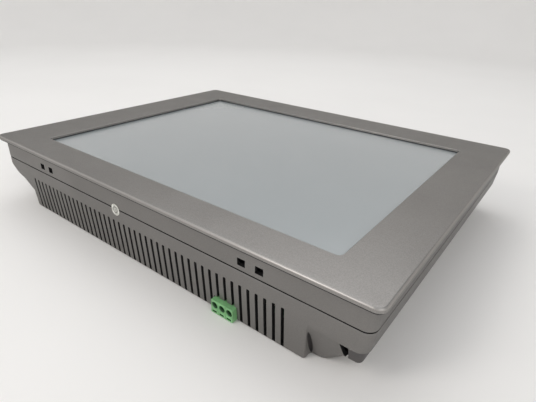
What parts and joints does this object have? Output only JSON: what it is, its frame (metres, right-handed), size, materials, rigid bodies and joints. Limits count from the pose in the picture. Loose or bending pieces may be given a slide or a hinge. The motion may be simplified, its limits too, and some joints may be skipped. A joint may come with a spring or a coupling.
{
  "type": "HMI touch panel",
  "caption": "Flush-mount operator touch panel with a metallic bezel, recessed landscape screen, stepped vented rear housing, clip holes and a pull-off screw-terminal supply plug.",
  "frame": {"origin": "centre of the footprint on the back plane", "axes": "+X along the long side, +Y towards the far long side (away from the supply plug), +Z out of the screen"},
  "size_m": [0.319, 0.243, 0.051],
  "materials": {
    "casting": "satin",
    "gasket": "matte",
    "touch": "satin",
    "display": "matte",
    "steel": "satin",
    "board": "satin",
    "chip": "matte",
    "fins": "matte",
    "plug": "satin",
    "port": "satin",
    "can": "gloss",
    "film": "gloss",
    "sticker": "satin",
    "label": "matte"
  },
  "bodies": {
    "panel": {"front_bezel": "casting", "rear_cover": "casting", "panel_gasket": "gasket", "display_gasket": "gasket", "touch_panel": "touch", "touch_flex_cable": "film", "display_cable": "film", "lcd_module": "display", "chassis_plate": "steel", "chassis_screw_1": "steel", "chassis_screw_2": "steel", "chassis_screw_3": "steel", "chassis_screw_4": "steel", "board_screw_1": "steel", "board_screw_2": "steel", "board_screw_3": "steel", "board_screw_4": "steel", "clock_battery": "steel", "power_board_screw_1": "steel", "power_board_screw_2": "steel", "input_fuse": "steel", "cover_screw_1": "steel", "cover_screw_2": "steel", "cover_screw_3": "steel", "cover_screw_4": "steel", "cover_screw_5": "steel", "cover_screw_6": "steel", "main_board": "board", "backlight_board": "board", "power_board": "board", "processor": "chip", "memory_chip": "chip", "flash_chip": "chip", "battery_holder": "chip", "backlight_transformer": "chip", "power_inductor": "chip", "heat_sink": "fins", "input_capacitor_1": "can", "input_capacitor_2": "can", "terminal_header": "plug", "ethernet_port": "port", "usb_port_1": "port", "usb_port_2": "port", "serial_port_1": "port", "serial_port_2": "port", "seal_sticker": "sticker", "rating_label": "label"},
    "plug": {"terminal_plug": "plug"},
    "screw_1": {"clamp_screw_1": "steel"},
    "jaw_1": {"wire_clamp_1": "steel"},
    "screw_2": {"clamp_screw_2": "steel"},
    "jaw_2": {"wire_clamp_2": "steel"},
    "screw_3": {"clamp_screw_3": "steel"},
    "jaw_3": {"wire_clamp_3": "steel"}
  },
  "joints": [
    {"name": "plug_pull", "type": "slide", "parent": "panel", "child": "plug", "axis": [0, -1, 0], "range_m": [0, 0.02]},
    {"name": "screw_turn_1", "type": "hinge", "parent": "plug", "child": "screw_1", "pos_m": [0.07022, -0.1143, 0.0015], "axis": [0, 0, 1], "range_deg": [0, 1440]},
    {"name": "jaw_lift_1", "type": "slide", "parent": "plug", "child": "jaw_1", "axis": [0, 0, 1], "range_m": [0, 0.002]},
    {"name": "screw_turn_2", "type": "hinge", "parent": "plug", "child": "screw_2", "pos_m": [0.0753, -0.1143, 0.0015], "axis": [0, 0, 1], "range_deg": [0, 1440]},
    {"name": "jaw_lift_2", "type": "slide", "parent": "plug", "child": "jaw_2", "axis": [0, 0, 1], "range_m": [0, 0.002]},
    {"name": "screw_turn_3", "type": "hinge", "parent": "plug", "child": "screw_3", "pos_m": [0.08038, -0.1143, 0.0015], "axis": [0, 0, 1], "range_deg": [0, 1440]},
    {"name": "jaw_lift_3", "type": "slide", "parent": "plug", "child": "jaw_3", "axis": [0, 0, 1], "range_m": [0, 0.002]}
  ],
  "couplings": [
    {"joint": "screw_turn_1", "follows": "jaw_lift_1", "rad_per_m": 12566},
    {"joint": "screw_turn_2", "follows": "jaw_lift_2", "rad_per_m": 12566},
    {"joint": "screw_turn_3", "follows": "jaw_lift_3", "rad_per_m": 12566}
  ]
}
